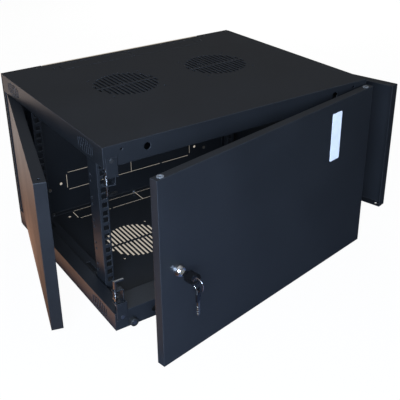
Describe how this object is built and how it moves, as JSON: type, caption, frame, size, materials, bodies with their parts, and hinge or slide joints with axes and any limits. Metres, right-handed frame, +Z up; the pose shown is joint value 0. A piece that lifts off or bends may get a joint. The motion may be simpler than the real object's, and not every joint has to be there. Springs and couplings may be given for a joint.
{
  "type": "wall_mount_network_cabinet",
  "caption": "Small black steel wall mount network cabinet with a hinged front door, two hinged side doors, rack rails, a key lock and vented roof and floor.",
  "frame": {"origin": "centre of the underside of the bottom panel", "axes": "+X to the right seen from the front, +Y to the back, +Z up"},
  "size_m": [0.7515, 0.6068, 0.336],
  "materials": {
    "black_powder_coat": "satin fine texture powder coat",
    "rail_powder_coat": "satin powder coat on the rack rails",
    "zinc_plate": "bright zinc plated steel",
    "dark_steel": "black oxide spring steel and pins",
    "label_plate": "blank label plate on the front door",
    "chrome_plate": "polished nickel chrome plate",
    "brass_plate": "nickelled brass key blank",
    "black_rubber": "matt moulded rubber",
    "black_plastic": "moulded black plastic key head",
    "white_nylon": "natural white nylon"
  },
  "bodies": {
    "frame": {"top_panel": "black_powder_coat", "bottom_panel": "black_powder_coat", "rear_panel": "black_powder_coat", "rear_panel_screws": "zinc_plate", "rail_front_left": "rail_powder_coat", "rail_front_right": "rail_powder_coat", "rail_rear_left": "rail_powder_coat", "rail_rear_right": "rail_powder_coat", "rail_bolts": "zinc_plate", "rail_nuts": "zinc_plate", "hinge_bracket_screws": "zinc_plate", "door_bumper": "black_rubber", "bumper_screw": "zinc_plate", "hinge_bracket_left_bottom": "black_powder_coat", "hinge_bracket_right_bottom": "black_powder_coat", "hinge_bracket_left_top": "black_powder_coat", "hinge_bracket_right_top": "black_powder_coat", "hinge_spring_right_bottom": "dark_steel", "hinge_spring_right_top": "dark_steel", "side_latch_spring_left_bottom": "dark_steel", "side_latch_spring_right_bottom": "dark_steel", "side_latch_spring_left_top": "dark_steel", "side_latch_spring_right_top": "dark_steel"},
    "front_door": {"front_door": "black_powder_coat", "hinge_bushes": "white_nylon", "lock_body": "chrome_plate", "lock_nut": "zinc_plate"},
    "lock_plug": {"lock_core": "chrome_plate", "lock_cam": "zinc_plate", "cam_screw": "zinc_plate", "key": "brass_plate", "key_head": "black_plastic"},
    "key_ring": {"key_ring": "chrome_plate"},
    "spare_key": {"spare_key": "brass_plate", "spare_key_head": "black_plastic"},
    "side_door_left": {"side_door_left": "black_powder_coat", "side_door_left_pin_brackets": "black_powder_coat", "side_hinge_spring_left_bottom": "dark_steel", "side_hinge_spring_left_top": "dark_steel"},
    "side_door_right": {"side_door_right": "black_powder_coat", "side_door_right_pin_brackets": "black_powder_coat", "side_hinge_spring_right_bottom": "dark_steel", "side_hinge_spring_right_top": "dark_steel"},
    "hinge_pin_right_bottom": {"hinge_pin_right_bottom": "dark_steel"},
    "hinge_pin_right_top": {"hinge_pin_right_top": "dark_steel"},
    "side_hinge_pin_left_bottom": {"side_hinge_pin_left_bottom": "dark_steel"},
    "side_latch_pin_left_bottom": {"side_latch_pin_left_bottom": "dark_steel"},
    "side_hinge_pin_left_top": {"side_hinge_pin_left_top": "dark_steel"},
    "side_latch_pin_left_top": {"side_latch_pin_left_top": "dark_steel"},
    "side_hinge_pin_right_bottom": {"side_hinge_pin_right_bottom": "dark_steel"},
    "side_latch_pin_right_bottom": {"side_latch_pin_right_bottom": "dark_steel"},
    "side_hinge_pin_right_top": {"side_hinge_pin_right_top": "dark_steel"},
    "side_latch_pin_right_top": {"side_latch_pin_right_top": "dark_steel"}
  },
  "joints": [
    {"name": "front_door_hinge", "type": "hinge", "parent": "frame", "child": "front_door", "pos_m": [0.251, -0.2339, 0.168], "axis": [0, 0, 1], "range_deg": [-11.6, 88]},
    {"name": "lock_turn", "type": "hinge", "parent": "front_door", "child": "lock_plug", "pos_m": [-0.2182, -0.33777, 0.17], "axis": [-0.2011, 0.9796, 0], "range_deg": [-60, 30]},
    {"name": "key_ring_swing", "type": "hinge", "parent": "lock_plug", "child": "key_ring", "pos_m": [-0.2098, -0.37866, 0.17382], "axis": [0.2011, -0.9796, 0], "range_deg": [-2, 14]},
    {"name": "spare_key_swing", "type": "hinge", "parent": "key_ring", "child": "spare_key", "pos_m": [-0.2098, -0.37866, 0.15302], "axis": [0.2011, -0.9796, 0], "range_deg": [-10, 10]},
    {"name": "side_door_left_hinge", "type": "hinge", "parent": "frame", "child": "side_door_left", "pos_m": [-0.2598, 0.199, 0.168], "axis": [0, 0, -1], "range_deg": [-14.8, 95]},
    {"name": "side_door_right_hinge", "type": "hinge", "parent": "frame", "child": "side_door_right", "pos_m": [0.2598, 0.199, 0.168], "axis": [0, 0, 1], "range_deg": [-15, 95]},
    {"name": "hinge_pin_right_bottom_slide", "type": "slide", "parent": "frame", "child": "hinge_pin_right_bottom", "axis": [0, 0, -1], "range_m": [-0.01, 0], "stiffness_N_per_m": 200, "springref_m": 0.01, "deforming": ["hinge_spring_right_bottom"]},
    {"name": "hinge_pin_right_top_slide", "type": "slide", "parent": "frame", "child": "hinge_pin_right_top", "axis": [0, 0, 1], "range_m": [-0.01, 0], "stiffness_N_per_m": 200, "springref_m": 0.01, "deforming": ["hinge_spring_right_top"]},
    {"name": "side_hinge_pin_left_bottom_slide", "type": "slide", "parent": "side_door_left", "child": "side_hinge_pin_left_bottom", "axis": [0, 0, -1], "range_m": [-0.007, 0], "stiffness_N_per_m": 200, "springref_m": 0.01, "deforming": ["side_hinge_spring_left_bottom"]},
    {"name": "side_latch_pin_left_bottom_slide", "type": "slide", "parent": "frame", "child": "side_latch_pin_left_bottom", "axis": [0, 0, -1], "range_m": [0, 0.007], "deforming": ["side_latch_spring_left_bottom"]},
    {"name": "side_hinge_pin_left_top_slide", "type": "slide", "parent": "side_door_left", "child": "side_hinge_pin_left_top", "axis": [0, 0, 1], "range_m": [-0.007, 0], "stiffness_N_per_m": 200, "springref_m": 0.01, "deforming": ["side_hinge_spring_left_top"]},
    {"name": "side_latch_pin_left_top_slide", "type": "slide", "parent": "frame", "child": "side_latch_pin_left_top", "axis": [0, 0, 1], "range_m": [0, 0.007], "deforming": ["side_latch_spring_left_top"]},
    {"name": "side_hinge_pin_right_bottom_slide", "type": "slide", "parent": "side_door_right", "child": "side_hinge_pin_right_bottom", "axis": [0, 0, -1], "range_m": [-0.007, 0], "stiffness_N_per_m": 200, "springref_m": 0.01, "deforming": ["side_hinge_spring_right_bottom"]},
    {"name": "side_latch_pin_right_bottom_slide", "type": "slide", "parent": "frame", "child": "side_latch_pin_right_bottom", "axis": [0, 0, -1], "range_m": [0, 0.007], "deforming": ["side_latch_spring_right_bottom"]},
    {"name": "side_hinge_pin_right_top_slide", "type": "slide", "parent": "side_door_right", "child": "side_hinge_pin_right_top", "axis": [0, 0, 1], "range_m": [-0.007, 0], "stiffness_N_per_m": 200, "springref_m": 0.01, "deforming": ["side_hinge_spring_right_top"]},
    {"name": "side_latch_pin_right_top_slide", "type": "slide", "parent": "frame", "child": "side_latch_pin_right_top", "axis": [0, 0, 1], "range_m": [0, 0.007], "deforming": ["side_latch_spring_right_top"]}
  ]
}
